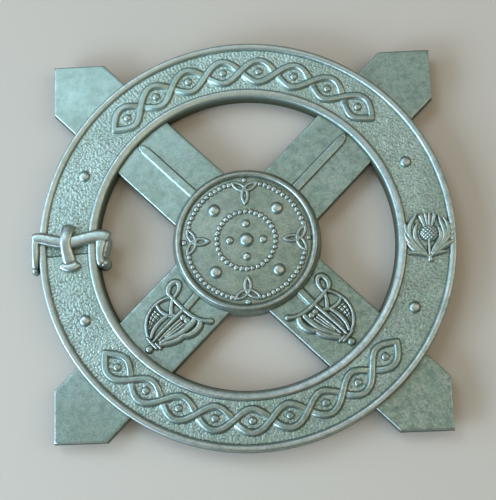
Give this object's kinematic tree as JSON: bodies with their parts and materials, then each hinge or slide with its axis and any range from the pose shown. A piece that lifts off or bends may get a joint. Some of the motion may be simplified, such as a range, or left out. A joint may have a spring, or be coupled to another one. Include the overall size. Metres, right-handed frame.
{
  "type": "military cap badge",
  "caption": "Pierced white metal military cap badge: strap ring with buckle and thistle over a saltire, crossed basket hilted swords and a studded targe.",
  "frame": {"origin": "centre of the bounding box on the surface that the badge's back rests on", "axes": "+Z out of the badge's face, +Y to its top, +X to the viewer's right"},
  "size_m": [0.059, 0.058, 0.0046],
  "materials": {
    "white_metal": "tarnished satin white metal (nickel silver)"
  },
  "bodies": {
    "root": {"badge": "white_metal"}
  },
  "joints": []
}
